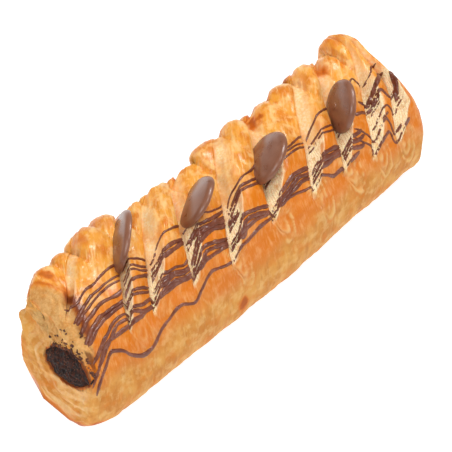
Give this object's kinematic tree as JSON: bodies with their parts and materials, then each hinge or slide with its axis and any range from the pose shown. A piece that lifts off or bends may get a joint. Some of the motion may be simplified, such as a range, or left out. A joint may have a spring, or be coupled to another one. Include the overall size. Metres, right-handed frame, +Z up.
{
  "type": "straight puff pastry bar with almond filling and chocolate",
  "caption": "Straight bar of folded puff pastry with slanting slits in its top, a dark filling that shows at both ends and chocolate buttons standing in the slits.",
  "frame": {"origin": "centre of the underside of the bounding box, where the bar rests", "axes": "+Z up, +X along the bar from the near end, whose filling faces the picture's viewer, to the far end, +Y from the folded front edge to the sealed and slit back edge"},
  "size_m": [0.1938, 0.0566, 0.0589],
  "materials": {
    "crust": "egg-glazed and baked golden, satin on the glazed bands, dull on the pale cut layers",
    "filling": "moist dark crumb",
    "chocolate": "satin milk chocolate"
  },
  "bodies": {
    "root": {"pastry": "crust", "filling": "filling", "button_1": "chocolate", "button_2": "chocolate", "button_3": "chocolate", "button_4": "chocolate"}
  },
  "joints": []
}
